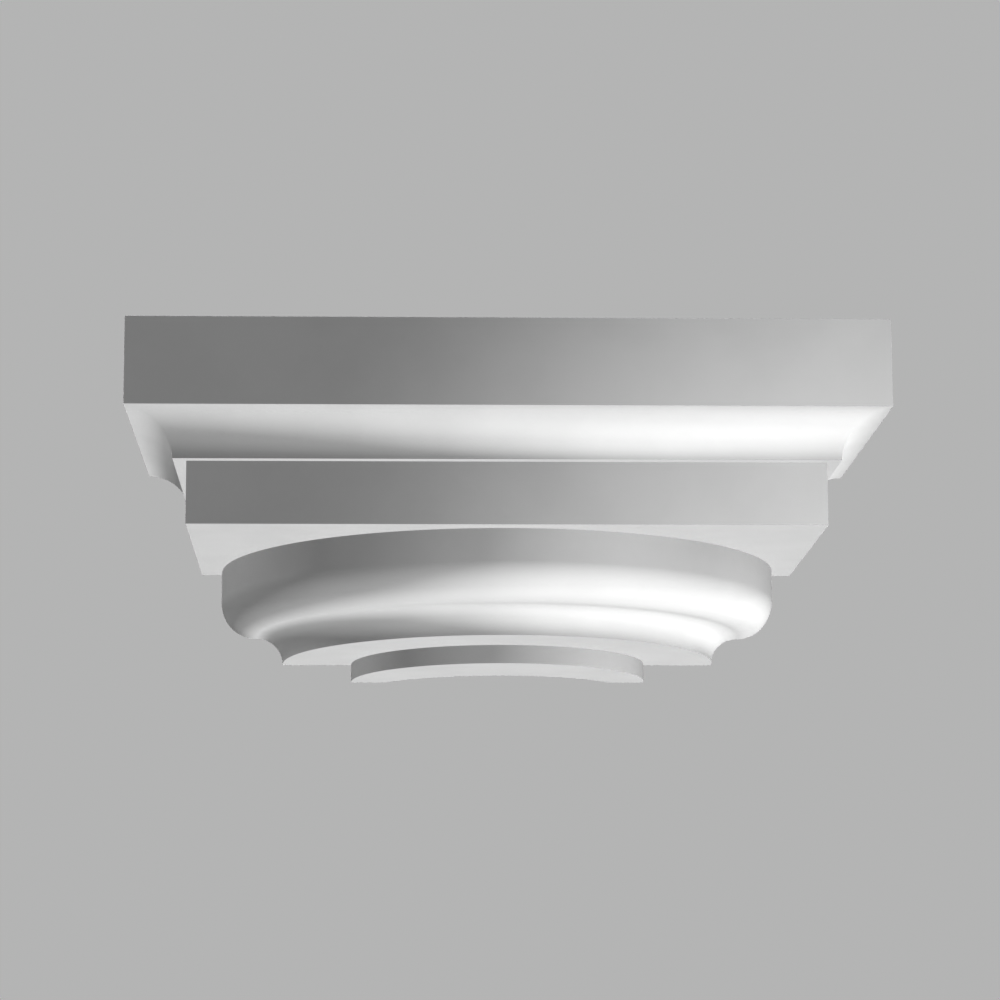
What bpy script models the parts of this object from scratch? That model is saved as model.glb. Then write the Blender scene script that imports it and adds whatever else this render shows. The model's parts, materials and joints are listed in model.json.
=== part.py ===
# Half-round pilaster capital, cast in one piece, for the top of an engaged half column.
#
# The form is half of a square-headed round capital. The whole of it is built about the
# vertical axis x = y = 0, and the wall plane y = 0 then cuts it flat.
#
# Frame: metres, +Z up, and the capital stands out from the wall towards -Y. The origin lies
# on the flat back, on the centre line, halfway up the capital.

import math

import bmesh
import bpy

# Breadths, from the spigot outwards
SPIGOT_RADIUS = 0.0835     # low boss that drops into the hollow half shaft
SEAT_BREADTH = 0.039       # flat ring that bears on the top of the shaft
CAVETTO_RADIUS = 0.015     # hollow quarter round above the seat
OVOLO_RADIUS = 0.020       # bold quarter round above the hollow
SOFFIT_MARGIN = 0.0115     # flat soffit between the round band and the edge of the block
LEDGE_BREADTH = 0.007      # flat ledge between the block and the foot of the cove
COVE_RADIUS = 0.024        # hollow quarter round under the abacus

# Heights, from the top down
ABACUS_HEIGHT = 0.0465
BLOCK_HEIGHT = 0.0335
BAND_HEIGHT = 0.017        # upright band at the head of the round echinus
SPIGOT_HEIGHT = 0.010

# Relief hollowed out of the back of the spigot, an arc in plan
RELIEF_END = 0.019         # width left at each end of the relief, along the wall
RELIEF_DEPTH = 0.0305      # depth from the wall at the middle

# Facets
HALF_TURN_STEPS = 72       # round the half circle of the echinus and the spigot
COVE_STEPS = 12
OVOLO_STEPS = 10
CAVETTO_STEPS = 8

# How far the forms run into each other before they are joined, and past what they cut
EMBED = 0.005

# Radii and half widths that follow
SEAT_RADIUS = SPIGOT_RADIUS + SEAT_BREADTH
OVOLO_FOOT_RADIUS = SEAT_RADIUS + CAVETTO_RADIUS
BAND_RADIUS = OVOLO_FOOT_RADIUS + OVOLO_RADIUS
BLOCK_HALF = BAND_RADIUS + SOFFIT_MARGIN
COVE_FOOT_HALF = BLOCK_HALF + LEDGE_BREADTH
ABACUS_HALF = COVE_FOOT_HALF + COVE_RADIUS

# Levels that follow, with the origin halfway up
ECHINUS_HEIGHT = BAND_HEIGHT + OVOLO_RADIUS + CAVETTO_RADIUS
TOTAL_HEIGHT = ABACUS_HEIGHT + COVE_RADIUS + BLOCK_HEIGHT + ECHINUS_HEIGHT + SPIGOT_HEIGHT
TOP_Z = TOTAL_HEIGHT / 2
COVE_TOP_Z = TOP_Z - ABACUS_HEIGHT
LEDGE_Z = COVE_TOP_Z - COVE_RADIUS
SOFFIT_Z = LEDGE_Z - BLOCK_HEIGHT
OVOLO_TOP_Z = SOFFIT_Z - BAND_HEIGHT
CAVETTO_TOP_Z = OVOLO_TOP_Z - OVOLO_RADIUS
SEAT_Z = CAVETTO_TOP_Z - CAVETTO_RADIUS
BOTTOM_Z = SEAT_Z - SPIGOT_HEIGHT


def clear_scene():
    for obj in list(bpy.data.objects):
        bpy.data.objects.remove(obj, do_unlink=True)


def quarter_round(centre, radius, start_angle, end_angle, steps):
    # Points (breadth, height) on an arc about a centre, both ends included.
    points = []
    for step in range(steps + 1):
        angle = start_angle + (end_angle - start_angle) * step / steps
        breadth = centre[0] + radius * math.cos(angle)
        height = centre[1] + radius * math.sin(angle)
        points.append((breadth, height))
    return points


def square_profile():
    # Abacus, cove, ledge and block, as (half width, height) from the top down.
    cove = quarter_round((ABACUS_HALF, LEDGE_Z), COVE_RADIUS, math.pi / 2, math.pi, COVE_STEPS)
    top = [(ABACUS_HALF, TOP_Z)]
    block = [(BLOCK_HALF, LEDGE_Z), (BLOCK_HALF, SOFFIT_Z)]
    return top + cove + block


def echinus_profile():
    # Band, ovolo and cavetto, as (radius, height) from the top down. The band runs on up
    # into the block.
    ovolo = quarter_round((OVOLO_FOOT_RADIUS, OVOLO_TOP_Z), OVOLO_RADIUS, 0, -math.pi / 2, OVOLO_STEPS)
    cavetto = quarter_round((OVOLO_FOOT_RADIUS, SEAT_Z), CAVETTO_RADIUS, math.pi / 2, math.pi, CAVETTO_STEPS)
    return [(BAND_RADIUS, SOFFIT_Z + EMBED)] + ovolo + cavetto[1:]


def spigot_profile():
    # Plain drum that runs on up into the echinus.
    return [(SPIGOT_RADIUS, SEAT_Z + EMBED), (SPIGOT_RADIUS, BOTTOM_Z)]


def square_ring(half, height):
    return [(-half, -half, height), (half, -half, height), (half, half, height), (-half, half, height)]


def round_ring(radius, height, centre_y=0.0):
    # A full circle with a corner on the wall plane at each side and one at the front.
    ring = []
    steps = 2 * HALF_TURN_STEPS
    for step in range(steps):
        angle = 2 * math.pi * step / steps
        ring.append((round(radius * math.cos(angle), 9), round(centre_y + radius * math.sin(angle), 9), height))
    return ring


def loft(name, rings):
    # Closed solid through rings that run from the top down, flat at both ends.
    model = bmesh.new()
    rows = []
    for ring in rings:
        rows.append([model.verts.new(point) for point in ring])
    for upper, lower in zip(rows, rows[1:]):
        for index in range(len(upper)):
            following = (index + 1) % len(upper)
            model.faces.new((lower[index], lower[following], upper[following], upper[index]))
    model.faces.new(rows[0])
    model.faces.new(reversed(rows[-1]))
    bmesh.ops.recalc_face_normals(model, faces=model.faces)
    mesh = bpy.data.meshes.new(name)
    model.to_mesh(mesh)
    model.free()
    mesh.shade_smooth()
    mesh.set_sharp_from_angle(angle=math.radians(30))
    obj = bpy.data.objects.new(name, mesh)
    bpy.context.scene.collection.objects.link(obj)
    return obj


def hide_guide(obj):
    obj.hide_render = True
    obj.display_type = 'WIRE'
    return obj


def boolean(obj, other, operation):
    modifier = obj.modifiers.new(operation.lower() + "_" + other.name, 'BOOLEAN')
    modifier.operation = operation
    modifier.solver = 'EXACT'
    modifier.object = other


def white_finish():
    # Matt white primer over the casting.
    material = bpy.data.materials.new("white_primer")
    material.use_nodes = True
    shader = material.node_tree.nodes["Principled BSDF"]
    shader.inputs["Base Color"].default_value = (0.80, 0.80, 0.79, 1.0)
    shader.inputs["Roughness"].default_value = 0.62
    shader.inputs["Metallic"].default_value = 0.0
    return material


def make_echinus():
    rings = [round_ring(radius, height) for radius, height in echinus_profile()]
    return hide_guide(loft("echinus_form", rings))


def make_relief_cutter():
    # Drum whose arc passes through both ends of the relief and its deepest point.
    half_chord = SPIGOT_RADIUS - RELIEF_END
    radius = (half_chord ** 2 + RELIEF_DEPTH ** 2) / (2 * RELIEF_DEPTH)
    centre_y = radius - RELIEF_DEPTH
    heights = (SEAT_Z + 2 * EMBED, BOTTOM_Z - EMBED)
    rings = [round_ring(radius, height, centre_y) for height in heights]
    return hide_guide(loft("relief_cutter", rings))


def make_spigot():
    rings = [round_ring(radius, height) for radius, height in spigot_profile()]
    spigot = hide_guide(loft("spigot_form", rings))
    boolean(spigot, make_relief_cutter(), 'DIFFERENCE')
    return spigot


def make_wall_cutter():
    # Everything behind the wall plane.
    reach = ABACUS_HALF + EMBED
    heights = (TOP_Z + EMBED, BOTTOM_Z - EMBED)
    rings = []
    for height in heights:
        rings.append([(-reach, 0.0, height), (reach, 0.0, height), (reach, reach, height), (-reach, reach, height)])
    return hide_guide(loft("wall_cutter", rings))


def make_capital():
    rings = [square_ring(half, height) for half, height in square_profile()]
    capital = loft("capital", rings)
    capital.data.materials.append(white_finish())
    boolean(capital, make_echinus(), 'UNION')
    boolean(capital, make_spigot(), 'UNION')
    boolean(capital, make_wall_cutter(), 'DIFFERENCE')
    return capital


def main():
    clear_scene()
    make_capital()


main()
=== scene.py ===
import json
import math

import bpy
import numpy as np
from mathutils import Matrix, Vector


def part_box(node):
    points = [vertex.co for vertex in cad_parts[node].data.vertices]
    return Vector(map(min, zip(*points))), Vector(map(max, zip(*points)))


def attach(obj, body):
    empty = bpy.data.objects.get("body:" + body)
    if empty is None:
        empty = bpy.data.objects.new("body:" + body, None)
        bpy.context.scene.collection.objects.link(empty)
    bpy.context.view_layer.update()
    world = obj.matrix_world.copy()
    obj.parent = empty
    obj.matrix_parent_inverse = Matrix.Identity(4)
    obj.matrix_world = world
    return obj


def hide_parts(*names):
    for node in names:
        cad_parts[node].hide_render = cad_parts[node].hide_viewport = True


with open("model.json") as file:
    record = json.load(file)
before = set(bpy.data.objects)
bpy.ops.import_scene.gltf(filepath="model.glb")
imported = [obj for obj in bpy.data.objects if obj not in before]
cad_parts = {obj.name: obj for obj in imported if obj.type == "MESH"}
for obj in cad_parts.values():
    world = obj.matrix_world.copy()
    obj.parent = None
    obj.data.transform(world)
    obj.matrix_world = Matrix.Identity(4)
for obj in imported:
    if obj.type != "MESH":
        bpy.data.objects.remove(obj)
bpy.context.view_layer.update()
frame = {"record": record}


# The photograph's view: from the front, a little left of the middle and well below

photoView = {
    "place": (-0.0678, -1.8792, -0.3245),
    "turn": (100.476, 0.235, -2.085),   # degrees about x, y and z, so it looks 10 degrees up
    "lens": 119.14,                     # mm, on a 36 mm sensor
    "sensor": 36.0,
    "nearest": 0.05,
    "farthest": 60.0,
}


def makeCamera(view):
    data = bpy.data.cameras.new("photoCamera")
    data.lens = view["lens"]
    data.sensor_width = view["sensor"]
    data.clip_start = view["nearest"]
    data.clip_end = view["farthest"]
    camera = bpy.data.objects.new("photoCamera", data)
    camera.location = view["place"]
    camera.rotation_euler = [math.radians(angle) for angle in view["turn"]]
    bpy.context.scene.collection.objects.link(camera)
    bpy.context.scene.camera = camera


makeCamera(photoView)
print("camera placed")


# Primer: a matt white film with faint clouds of shade, a fine stipple from the spray and,
# on the sawn back, a rawer and darker skin

primer = {
    "white": (0.800, 0.800, 0.800),
    "cloud": (0.785, 0.785, 0.785),     # the film's thinner places
    "cloudSize": 0.045,                 # metres across, about
    "cloudDetail": 4.0,
    "cloudSpan": (0.35, 0.70),          # noise that goes from all white to all cloud
    "raw": (0.720, 0.712, 0.690),       # bare back against the wall
    "backDepth": 0.0004,                # how far the bare back reaches round the edge
    "roughness": 0.90,
    "roughnessSpread": 0.05,
    "shineSize": 0.015,                 # patches of more and less shine
    "shineDetail": 3.0,
    "shineSpan": (0.3, 0.7),
    "refraction": 1.5,
    "stippleSize": 0.0011,
    "stippleHeight": 0.00001,
    "stippleDetail": 2.0,
    "waveSize": 0.012,                  # slow unevenness of a cast face
    "waveHeight": 0.00003,
    "waveDetail": 1.0,
}


def addNode(tree, kind, **settings):
    node = tree.nodes.new(kind)
    for name, value in settings.items():
        setattr(node, name, value)
    return node


def makeNoise(tree, place, size, detail):
    # Soft noise whose patches are about `size` metres across
    noise = addNode(tree, "ShaderNodeTexNoise")
    noise.inputs["Scale"].default_value = 1.0 / size
    noise.inputs["Detail"].default_value = detail
    tree.links.new(place, noise.inputs["Vector"])
    return noise.outputs["Fac"]


def spreadOver(tree, value, span, result=(0.0, 1.0)):
    # Carries the span onto the result in a soft step, held at both ends
    node = addNode(tree, "ShaderNodeMapRange", interpolation_type="SMOOTHSTEP")
    for socket, number in zip(("From Min", "From Max", "To Min", "To Max"), (*span, *result)):
        node.inputs[socket].default_value = number
    tree.links.new(value, node.inputs["Value"])
    return node.outputs["Result"]


def mixColours(tree, share, first, second):
    # first where share is 0, second where it is 1; either may be a colour or a socket. The Mix
    # node takes its two colours on inputs 6 and 7 and gives the mixed one on output 2.
    node = addNode(tree, "ShaderNodeMix", data_type="RGBA")
    tree.links.new(share, node.inputs["Factor"])
    for socket, colour in ((node.inputs[6], first), (node.inputs[7], second)):
        if isinstance(colour, tuple):
            socket.default_value = (*colour, 1.0)
        else:
            tree.links.new(colour, socket)
    return node.outputs[2]


def addBump(tree, height, tall, under=None):
    node = addNode(tree, "ShaderNodeBump")
    node.inputs["Strength"].default_value = 1.0
    node.inputs["Distance"].default_value = tall
    tree.links.new(height, node.inputs["Height"])
    if under is not None:
        tree.links.new(under, node.inputs["Normal"])
    return node.outputs["Normal"]


def makePrimer(look):
    material = bpy.data.materials.new("matPrimer")
    material.use_nodes = True
    tree = material.node_tree
    shader = tree.nodes["Principled BSDF"]
    place = addNode(tree, "ShaderNodeTexCoord").outputs["Object"]

    clouds = makeNoise(tree, place, look["cloudSize"], look["cloudDetail"])
    film = mixColours(tree, spreadOver(tree, clouds, look["cloudSpan"]), look["white"], look["cloud"])
    split = addNode(tree, "ShaderNodeSeparateXYZ")
    tree.links.new(place, split.inputs["Vector"])
    bare = spreadOver(tree, split.outputs["Y"], (-look["backDepth"], 0.0))
    tree.links.new(mixColours(tree, bare, film, look["raw"]), shader.inputs["Base Color"])

    shine = makeNoise(tree, place, look["shineSize"], look["shineDetail"])
    least = look["roughness"] - look["roughnessSpread"]
    most = look["roughness"] + look["roughnessSpread"]
    tree.links.new(spreadOver(tree, shine, look["shineSpan"], (least, most)), shader.inputs["Roughness"])

    waves = makeNoise(tree, place, look["waveSize"], look["waveDetail"])
    grains = makeNoise(tree, place, look["stippleSize"], look["stippleDetail"])
    wavy = addBump(tree, waves, look["waveHeight"])
    tree.links.new(addBump(tree, grains, look["stippleHeight"], wavy), shader.inputs["Normal"])
    shader.inputs["Metallic"].default_value = 0.0
    shader.inputs["IOR"].default_value = look["refraction"]
    return material


# The casting: one profile from the edge of the top, down every member, to the roof of the hollow
# under the seat, carried round a plan that is square above and half round below

casting = {
    "abacusHeight": 0.0465,
    "coveRadius": 0.024,
    "ledgeBreadth": 0.007,
    "blockHeight": 0.0335,
    "soffitMargin": 0.0115,
    "ovoloRadius": 0.020,
    "cavettoRadius": 0.015,
    "seatBreadth": 0.039,
    "hollowEnd": 0.019,                 # width left at each end of the hollow, along the wall
    "hollowDepth": 0.0305,
    "coveSteps": 48,
    "ovoloSteps": 40,
    "cavettoSteps": 32,
    "turnSteps": 240,                   # round the half circle, a multiple of 4 so that corners are met
    "mitreLean": 1.27,                  # how much more the front counts than a side in a mitre's shading
    "creaseAngle": 35.0,                # degrees; a sharper edge between two faces stays crisp
}
squarePlan, roundPlan, hollowPlan = 0, 1, 2


def quarterArc(centre, radius, startTurn, endTurn, steps):
    # Points (breadth, height) of a circle's arc: centre plus radius times (cosine, sine)
    turn = np.radians(np.linspace(startTurn, endTurn, steps + 1))
    return np.stack([centre[0] + radius * np.cos(turn), centre[1] + radius * np.sin(turn)], 1)


def makeProfile(form):
    # Rows (breadth, height, plan) from the top down: the ends of every straight run, and the
    # points of every arc. Breadth is the half width of the square or the radius of the round.
    low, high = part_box("capital")
    seat = [mount for mount in frame["record"]["mounts"] if mount["name"] == "shaft_seat"][0]
    topZ, bottomZ, seatZ = high.z, low.z, seat["pos_m"][2]
    abacusHalf = high.x
    blockHalf = abacusHalf - form["coveRadius"] - form["ledgeBreadth"]
    bandRadius = blockHalf - form["soffitMargin"]
    ovoloFoot = bandRadius - form["ovoloRadius"]
    spigotRadius = ovoloFoot - form["cavettoRadius"] - form["seatBreadth"]
    ledgeZ = topZ - form["abacusHeight"] - form["coveRadius"]
    soffitZ = ledgeZ - form["blockHeight"]
    ovoloTopZ = seatZ + form["cavettoRadius"] + form["ovoloRadius"]
    halfChord = spigotRadius - form["hollowEnd"]
    hollowRadius = (halfChord ** 2 + form["hollowDepth"] ** 2) / (2 * form["hollowDepth"])
    cove = quarterArc((abacusHalf, ledgeZ), form["coveRadius"], 90.0, 180.0, form["coveSteps"])
    ovolo = quarterArc((ovoloFoot, ovoloTopZ), form["ovoloRadius"], 0.0, -90.0, form["ovoloSteps"])
    cavetto = quarterArc((ovoloFoot, seatZ), form["cavettoRadius"], 90.0, 180.0, form["cavettoSteps"])
    runs = [
        (squarePlan, [(abacusHalf, topZ)]),
        (squarePlan, cove),
        (squarePlan, [(blockHalf, ledgeZ), (blockHalf, soffitZ)]),
        (roundPlan, [(bandRadius, soffitZ)]),
        (roundPlan, ovolo),
        (roundPlan, cavetto[1:]),
        (roundPlan, [(spigotRadius, seatZ), (spigotRadius, bottomZ)]),
        (hollowPlan, [(hollowRadius, bottomZ), (hollowRadius, seatZ)]),
    ]
    rows = [np.column_stack([points, np.full(len(points), plan)]) for plan, points in runs]
    return {"rows": np.concatenate(rows), "cove": (1, 1 + len(cove)), "coveCentre": (abacusHalf, ledgeZ),
            "hollowY": hollowRadius - form["hollowDepth"]}


def castingSurface(form):
    # Place of row i, column j, for turns from the right end of the wall, round the front, to the
    # left end. Square: half times (cosine, -sine) over the larger of the two. Round: radius times
    # (cosine, -sine). Hollow: the same circle about a centre behind the wall, run only between
    # the two turns where it meets the wall.
    profile = makeProfile(form)
    turn = np.linspace(0.0, np.pi, form["turnSteps"] + 1)[None]
    rows, centreY = profile["rows"], profile["hollowY"]
    breadth, height, plan = rows[:, 0, None], rows[:, 1, None], rows[:, 2, None]
    ray = np.concatenate([np.cos(turn), -np.sin(turn)]).T
    ray /= np.abs(ray).max(1)[:, None]
    start = np.arcsin(centreY / np.maximum(breadth, centreY))
    swing = start + (np.pi - 2 * start) * turn / np.pi
    plans = [plan == squarePlan, plan == roundPlan]
    x = np.select(plans, [breadth * ray[:, 0], breadth * np.cos(turn)], breadth * np.cos(swing))
    y = np.select(plans, [breadth * ray[:, 1], -breadth * np.sin(turn)], centreY - breadth * np.sin(swing))
    y[:, (0, -1)] = 0.0                 # both ends of every row lie on the wall
    return np.stack([x, y, np.broadcast_to(height, x.shape)], -1), coveNormals(form, profile, ray)


def coveNormals(form, profile, ray):
    # The mould's mitres are rubbed soft, so the cove shades round its corners without a line. Its
    # normal is true at the wall ends, (out, 0, -down). At a mitre it is the unit sum of the side's
    # normal and of lean times the front's, (out, -lean out, -(1 + lean) down). Between these
    # places it is their straight blend.
    first, last = profile["cove"]
    reach = np.abs(np.subtract(profile["rows"][first:last, :2], profile["coveCentre"])) / form["coveRadius"]
    out, down = reach[:, 0], reach[:, 1]
    wall = np.stack([out, 0 * out, -down], 1)
    lean = form["mitreLean"]
    mitre = np.stack([out, -lean * out, -(1 + lean) * down], 1)
    mitre /= np.linalg.norm(mitre, axis=1)[:, None]
    mirror = (-1.0, 1.0, 1.0)
    places = np.stack([wall, mitre, mitre * mirror, wall * mirror])
    # 0 at the right wall end, 1 and 2 at the mitres, 3 at the left wall end
    sideShare = np.where(ray[:, 0] > 0, -ray[:, 1], 3.0 + ray[:, 1])
    along = np.where(ray[:, 1] > -1.0, sideShare, 1.5 - 0.5 * ray[:, 0])
    before = np.clip(along.astype(int), 0, 2)
    share = (along - before)[:, None, None]
    blend = places[before] * (1.0 - share) + places[before + 1] * share
    normals = np.zeros((len(profile["rows"]), len(ray), 3))
    normals[first:last] = blend.transpose(1, 0, 2)
    return normals


def meshFromGrid(name, creaseAngle, points, normals):
    # Faces between neighbouring rows and columns, one flat face over the first row, one over the
    # last, and one for the back through both end columns. Where normals are given for both rows
    # of a face, they replace its own.
    rows, columns = points.shape[:2]
    index = np.arange(rows * columns).reshape(rows, columns)
    quads = np.stack([index[:-1, :-1], index[:-1, 1:], index[1:, 1:], index[1:, :-1]], -1).reshape(-1, 4)
    top = index[0][::-1]
    roof = index[-1]
    back = np.concatenate([index[:, 0], index[::-1, -1]])
    flats = [top, roof, back]
    loops = np.concatenate([quads.ravel(), *flats])
    sizes = np.concatenate([np.full(len(quads), 4), [len(flat) for flat in flats]])
    starts = np.concatenate([[0], np.cumsum(sizes)[:-1]])
    mesh = bpy.data.meshes.new(name)
    mesh.vertices.add(rows * columns)
    mesh.vertices.foreach_set("co", points.astype(np.float32).ravel())
    mesh.loops.add(len(loops))
    mesh.loops.foreach_set("vertex_index", loops.astype(np.int32))
    mesh.polygons.add(len(sizes))
    mesh.polygons.foreach_set("loop_start", starts.astype(np.int32))
    mesh.update(calc_edges=True)
    mesh.validate()
    mesh.shade_smooth()
    mesh.set_sharp_from_angle(angle=math.radians(creaseAngle))
    given = normals.reshape(-1, 3)[quads]
    given[(given == 0.0).all(2).any(1)] = 0.0
    own = np.zeros((len(loops) - quads.size, 3))
    mesh.normals_split_custom_set(np.concatenate([given.reshape(-1, 3), own]))
    return mesh


def makeCasting(form, look):
    mesh = meshFromGrid("capitalCasting", form["creaseAngle"], *castingSurface(form))
    mesh.materials.append(makePrimer(look))
    piece = bpy.data.objects.new("capitalCasting", mesh)
    bpy.context.scene.collection.objects.link(piece)
    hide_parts("capital")
    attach(piece, "root")
    print("casting made,", len(mesh.polygons), "faces")


makeCasting(casting, primer)


# Studio: faint room light, four distant lights and three soft-edged lamps for the photograph's
# view, and a light from behind and above that it doesn't show. No light here casts a shadow, and
# none is thrown on between the members, for the photograph shows neither. The raw view transform
# gives the light's own values to the picture, as the photograph's renderer did.

studio = {
    "roomGrey": 0.706,                  # what the camera sees behind the object
    "roomLight": 0.004,                 # what lights the object from all round
    "suns": {                           # turn: degrees from the front towards the right; rise: above level
        "left": {"turn": -93.7, "rise": 27.6, "power": 2.03},
        "right": {"turn": 50.6, "rise": -34.2, "power": 2.41},
        "over": {"turn": -15.9, "rise": 48.5, "power": 0.74},
        "under": {"turn": -35.0, "rise": -83.3, "power": 1.19},
        "behind": {"turn": 180.0, "rise": 30.0, "power": 3.2},
    },
    "softness": 4.0,                    # degrees across each sun
    "lamps": {                          # light: what falls on the aim
        "front": {"place": (-1.837, -4.848, 1.773), "aim": (0.311, -0.154, -0.191),
                  "spread": 4.20, "light": 1.63},
        "right": {"place": (2.852, -1.730, 1.402), "aim": (0.376, -0.133, -0.013),
                  "spread": 2.76, "light": 1.54},
        "low": {"place": (0.442, -0.100, -2.100), "aim": (0.148, -0.227, -0.204),
                "spread": 39.4, "light": 0.965},
    },
    "lampEdge": 1.0,                    # the whole beam is a soft edge
    "lampSize": 0.02,
    "floorDrop": 2.2,                   # the floor lies this far under the capital
    "floorSize": 120.0,
    "floorGrey": 0.74,
    "floorRoughness": 0.9,
}


def pointAt(thing, place, aim):
    # Turns a lamp's -Z axis from its place towards the aim
    step = np.subtract(aim, place)
    flat = math.hypot(step[0], step[1])
    thing.location = place
    thing.rotation_euler = (math.atan2(flat, -step[2]), 0.0, math.atan2(-step[0], step[1]))


def addLight(name, kind, power):
    data = bpy.data.lights.new(name, kind)
    data.energy = power
    data.use_shadow = False
    light = bpy.data.objects.new(name, data)
    light.visible_camera = False
    bpy.context.scene.collection.objects.link(light)
    return light


def addSun(name, sun, softness):
    turn, rise = math.radians(sun["turn"]), math.radians(sun["rise"])
    level = math.cos(rise)
    light = addLight(name, "SUN", sun["power"])
    light.data.angle = math.radians(softness)
    pointAt(light, (math.sin(turn) * level, -math.cos(turn) * level, math.sin(rise)), (0.0, 0.0, 0.0))


def addLamp(name, lamp, edge, size):
    # Power is 4 pi times the distance squared times the light wanted at the aim
    power = 4 * math.pi * math.dist(lamp["place"], lamp["aim"]) ** 2 * lamp["light"]
    light = addLight(name, "SPOT", power)
    light.data.spot_size = math.radians(2 * lamp["spread"])
    light.data.spot_blend = edge
    light.data.shadow_soft_size = size
    pointAt(light, lamp["place"], lamp["aim"])


def makeRoom(room):
    # The camera sees one even grey, and the object is lit by another
    world = bpy.data.worlds.new("room")
    world.use_nodes = True
    bpy.context.scene.world = world
    tree = world.node_tree
    tree.nodes.clear()
    seen = addNode(tree, "ShaderNodeBackground")
    seen.inputs["Color"].default_value = (*[room["roomGrey"]] * 3, 1.0)
    lit = addNode(tree, "ShaderNodeBackground")
    lit.inputs["Color"].default_value = (*[room["roomLight"]] * 3, 1.0)
    mix = addNode(tree, "ShaderNodeMixShader")
    tree.links.new(addNode(tree, "ShaderNodeLightPath").outputs["Is Camera Ray"], mix.inputs["Fac"])
    tree.links.new(lit.outputs[0], mix.inputs[1])
    tree.links.new(seen.outputs[0], mix.inputs[2])
    tree.links.new(mix.outputs[0], addNode(tree, "ShaderNodeOutputWorld").inputs["Surface"])


def makeFloor(room):
    # Plain pale floor, seen by the camera alone so that the light from below passes it
    side = room["floorSize"] / 2
    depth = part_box("capital")[0].z - room["floorDrop"]
    corners = [(-side, -side, depth), (side, -side, depth), (side, side, depth), (-side, side, depth)]
    mesh = bpy.data.meshes.new("floor")
    mesh.from_pydata(corners, [], [(0, 1, 2, 3)])
    material = bpy.data.materials.new("matFloor")
    material.use_nodes = True
    shader = material.node_tree.nodes["Principled BSDF"]
    shader.inputs["Base Color"].default_value = (*[room["floorGrey"]] * 3, 1.0)
    shader.inputs["Roughness"].default_value = room["floorRoughness"]
    shader.inputs["Specular IOR Level"].default_value = 0.0
    mesh.materials.append(material)
    floor = bpy.data.objects.new("floor", mesh)
    floor.visible_diffuse = False
    floor.visible_glossy = False
    floor.visible_shadow = False
    bpy.context.scene.collection.objects.link(floor)


makeRoom(studio)
makeFloor(studio)
for name, sun in studio["suns"].items():
    addSun("sun_" + name, sun, studio["softness"])
for name, lamp in studio["lamps"].items():
    addLamp("lamp_" + name, lamp, studio["lampEdge"], studio["lampSize"])
bpy.context.scene.view_settings.view_transform = "Raw"
bpy.context.scene.cycles.diffuse_bounces = 0
print("studio lit")
